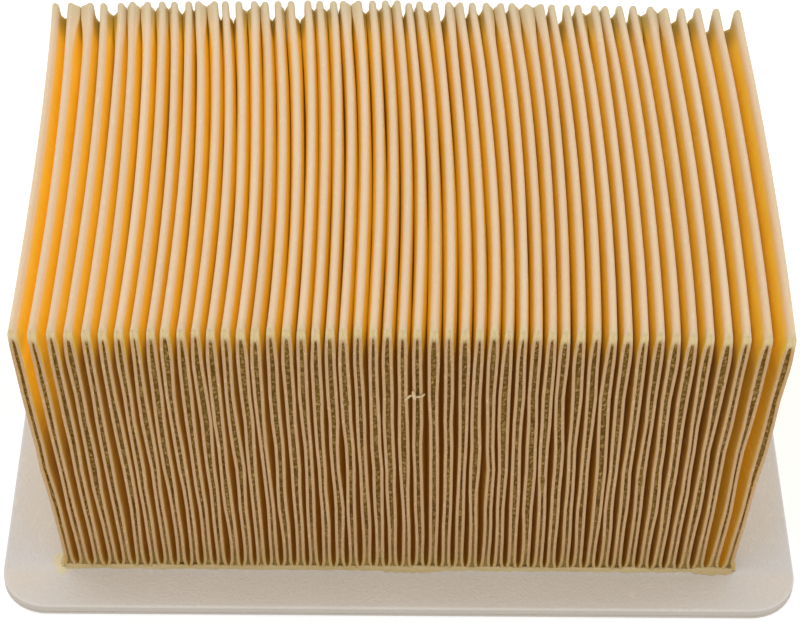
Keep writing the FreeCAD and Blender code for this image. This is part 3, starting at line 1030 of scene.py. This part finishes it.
def base_bead(name, start, end, outward, lumps, material, seed):
    """A lumpy fillet of glue along the foot of the pack.

    Each lump is its place along the run, half its length, and what it adds to the fillet's
    width and height, all in metres."""
    length = (end - start).length
    along = (end - start).normalized()
    rows = int(length / BEAD_STEP)
    verts, faces = [], []
    for row in range(rows + 1):
        reach = length * row / rows
        swell = noise.noise(Vector((reach * 170, seed, 0.0)))
        fine = noise.noise(Vector((reach * 620, seed, 5.0)))
        wide = BEAD_WIDTH * (1.0 + 0.55 * swell + 0.4 * fine)
        tall = BEAD_HEIGHT * (1.0 + 0.4 * swell + 0.35 * fine)
        for place, half, more_wide, more_tall in lumps:
            share = max(0.0, 1.0 - ((reach - place) / half) ** 2)
            wide += more_wide * share * (1.0 + 0.5 * fine)
            tall += more_tall * share
        wide = max(wide, BEAD_LEAST_WIDTH)
        tall = max(tall, BEAD_LEAST_HEIGHT)
        section = [(-BEAD_BITE, -BEAD_SUNK), (wide, -BEAD_SUNK)]
        for share in (0.12, 0.35, 0.6, 0.85):
            bulge = 1.0 - 0.35 * math.sin(math.pi * share)
            section.append((wide * (1.0 - share) * bulge, tall * share * bulge))
        section += [(0.02 * MM, tall), (-BEAD_BITE, tall)]
        spot = start + along * reach
        for column, (out, rise) in enumerate(section):
            rough = noise.noise(Vector((reach * 1100, column * 1.7, seed))) * BEAD_GRAIN
            # What is stuck to the paper or the felt stays smooth.
            if out <= 0 or rise < 0:
                rough = 0.0
            verts.append(spot + outward * (out + rough) + Vector((0, 0, rise + rough)))
    ring = len(section)
    for row in range(rows):
        for i in range(ring):
            j = (i + 1) % ring
            a, b = row * ring, (row + 1) * ring
            faces.append((a + i, a + j, b + j, b + i))
    faces.append(tuple(range(ring)))
    faces.append(tuple(reversed(range(rows * ring, (rows + 1) * ring))))
    return close_mesh(name, verts, faces, material)


def bead_pieces(material):
    x, y, z = BASE_HALF_WIDTH, HALF_LENGTH, FLANGE_TOP
    long, short = 2 * x, 2 * y
    runs = {
        "front_base_bead": (
            (-x, -y), (x, -y), (0, -1),
            [
                (x + 2.5 * MM, 8 * MM, 0.7 * MM, 0.2 * MM),
                (long - 4 * MM, 5.5 * MM, 0.7 * MM, 0.3 * MM),
            ],
        ),
        "rear_base_bead": (
            (x, y), (-x, y), (0, 1), [(30 * MM, 9 * MM, 0.9 * MM, 0.5 * MM)]
        ),
        "left_base_bead": (
            (-x, y), (-x, -y), (-1, 0), [(short, 6 * MM, 0.5 * MM, 0.0)]
        ),
        "right_base_bead": (
            (x, -y), (x, y), (1, 0), [(0.0, 4 * MM, 0.5 * MM, 0.5 * MM)]
        ),
    }
    made = {}
    for seed, (node, (start, end, outward, lumps)) in enumerate(runs.items()):
        made[node] = base_bead(
            node.replace("base_bead", "foot_glue"),
            Vector((*start, z)),
            Vector((*end, z)),
            Vector((*outward, 0)),
            lumps,
            material,
            seed * 3.7,
        )
    return made


# ------------------------------------------------------------ stray glue and fibres


def strand(path, thick, sides=5):
    """Vertices and faces of a tapered thread along a path."""
    verts, faces = [], []
    for index, point in enumerate(path):
        share = index / (len(path) - 1)
        radius = thick * (0.35 + 0.65 * math.sin(math.pi * (0.15 + 0.85 * (1 - share))))
        for side in range(sides):
            angle = 2 * math.pi * side / sides
            spoke = Vector((math.cos(angle), math.sin(angle) * 0.6, math.sin(angle)))
            verts.append(point + radius * spoke)
    for index in range(len(path) - 1):
        for side in range(sides):
            following = (side + 1) % sides
            a, b = index * sides, (index + 1) * sides
            faces.append((a + side, a + following, b + following, b + side))
    faces.append(tuple(range(sides)))
    faces.append(tuple(reversed(range(len(verts) - sides, len(verts)))))
    return verts, faces


def glue_knot(material):
    """A dab of glue on the front face, with threads pulled from it."""
    centre = Vector((1.9 * MM, FRONT - 0.2 * MM, PACK_TOP - 18.0 * MM))
    threads = [
        ((-0.1, 1.1), (0.1, 0.1), (0.4, -1.2), 0.46),
        ((-0.1, -0.2), (-0.9, -0.5), (-1.7, -1.5), 0.28),
        ((0.2, -0.6), (1.2, -1.1), (2.4, 0.3), 0.26),
        ((0.4, -1.0), (0.6, -3.0), (0.3, -5.0), 0.08),
    ]
    verts, faces = [], []
    for start, middle, end, thick in threads:
        path = []
        for step in range(9):
            t = step / 8
            x = (1 - t) ** 2 * start[0] + 2 * t * (1 - t) * middle[0] + t * t * end[0]
            z = (1 - t) ** 2 * start[1] + 2 * t * (1 - t) * middle[1] + t * t * end[1]
            path.append(centre + Vector((x, 0.1 * math.sin(t * 5), z)) * MM)
        more, loops = strand(path, thick * MM)
        faces += [tuple(index + len(verts) for index in loop) for loop in loops]
        verts += more
    return close_mesh("glue_knot", verts, faces, material)


# ------------------------------------------------------------ putting it together


def put(piece, slot, *nodes):
    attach(piece, "root")
    if nodes:
        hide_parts(*nodes)


grain = fibre_grain_group()
ridge_group = ridge_line_group()
centre_group = pleat_centre_group()
groups = (ridge_group, pleat_form_group(centre_group))

paper = folded_paper(groups, paper_material(grain), cut_edge_material(grain))
put(paper, "filter_paper", "pleated_media")

straw = bead_material(grain)
for node, piece in glue_pieces(groups, seam_material(grain), straw).items():
    put(piece, "seam_glue" if "seams" in node else "bead_glue", node)
for node, piece in bead_pieces(straw).items():
    put(piece, "bead_glue", node)

put(glue_knot(knot_material(grain)), "seam_glue")

felt = felt_material(grain)
upper_ring, lower_ring = felt_pieces(felt)
put(upper_ring, "flange_felt", "upper_felt")
put(lower_ring, "flange_felt", "lower_felt")

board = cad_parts["flange_board"]
board.data.materials.clear()
board.data.materials.append(board_material(grain))


# ------------------------------------------------------------ floor, light and camera


WHITE = (1.0, 1.0, 1.0, 1.0)


def make_floor():
    mesh = bpy.data.meshes.new("floor")
    reach = 3.0
    corners = [(-reach, -reach), (reach, -reach), (reach, reach), (-reach, reach)]
    mesh.from_pydata([(x, y, -0.0002) for x, y in corners], [], [(0, 1, 2, 3)])
    material, _, shader = new_material("white_floor")
    values = {
        "Base Color": (0.8, 0.8, 0.8, 1.0),
        "Emission Color": WHITE,
        "Emission Strength": 0.38,
        "Roughness": 0.95,
        "Specular IOR Level": 0.0,
    }
    set_plain(shader, values)
    mesh.materials.append(material)
    floor = bpy.data.objects.new("floor", mesh)
    bpy.context.scene.collection.objects.link(floor)


def soft_light(name, place, aim, size, power):
    light = bpy.data.lights.new(name, "AREA")
    light.shape = "DISK"
    light.size = size
    light.energy = power
    lamp = bpy.data.objects.new(name, light)
    lamp.location = place
    lamp.rotation_euler = (Vector(aim) - Vector(place)).to_track_quat("-Z", "Y").to_euler()
    bpy.context.scene.collection.objects.link(lamp)


def make_studio():
    world = bpy.data.worlds.new("studio")
    bpy.context.scene.world = world
    world.use_nodes = True
    background = world.node_tree.nodes["Background"]
    set_plain(background, {"Color": WHITE, "Strength": 0.94})
    middle = (0.0, 0.0, 0.03)
    soft_light("top_light", (-0.2, 0.1, 1.1), middle, 0.8, 1.7)
    bpy.context.scene.view_settings.view_transform = "Standard"


LENS, SENSOR_WIDTH = 110.4, 36.0
EYE = Vector((-7.6, -392.8, 438.7)) * MM
PITCH, YAW, ROLL = 46, 1.08, 1.27


def make_camera():
    pitch, yaw, roll = math.radians(PITCH), math.radians(YAW), math.radians(ROLL)
    ahead = Vector(
        (math.sin(yaw) * math.cos(pitch), math.cos(yaw) * math.cos(pitch), -math.sin(pitch))
    )
    level = Vector((math.cos(yaw), -math.sin(yaw), 0))
    upright = level.cross(ahead)
    right = level * math.cos(roll) + upright * math.sin(roll)
    up = upright * math.cos(roll) - level * math.sin(roll)
    camera = bpy.data.objects.new("camera", bpy.data.cameras.new("camera"))
    camera.data.lens = LENS
    camera.data.sensor_width = SENSOR_WIDTH
    camera.data.clip_start = 0.01
    turn = Matrix((right, up, -ahead)).transposed().to_4x4()
    camera.matrix_world = Matrix.Translation(EYE) @ turn
    bpy.context.scene.collection.objects.link(camera)
    bpy.context.scene.camera = camera


make_floor()
make_studio()
make_camera()
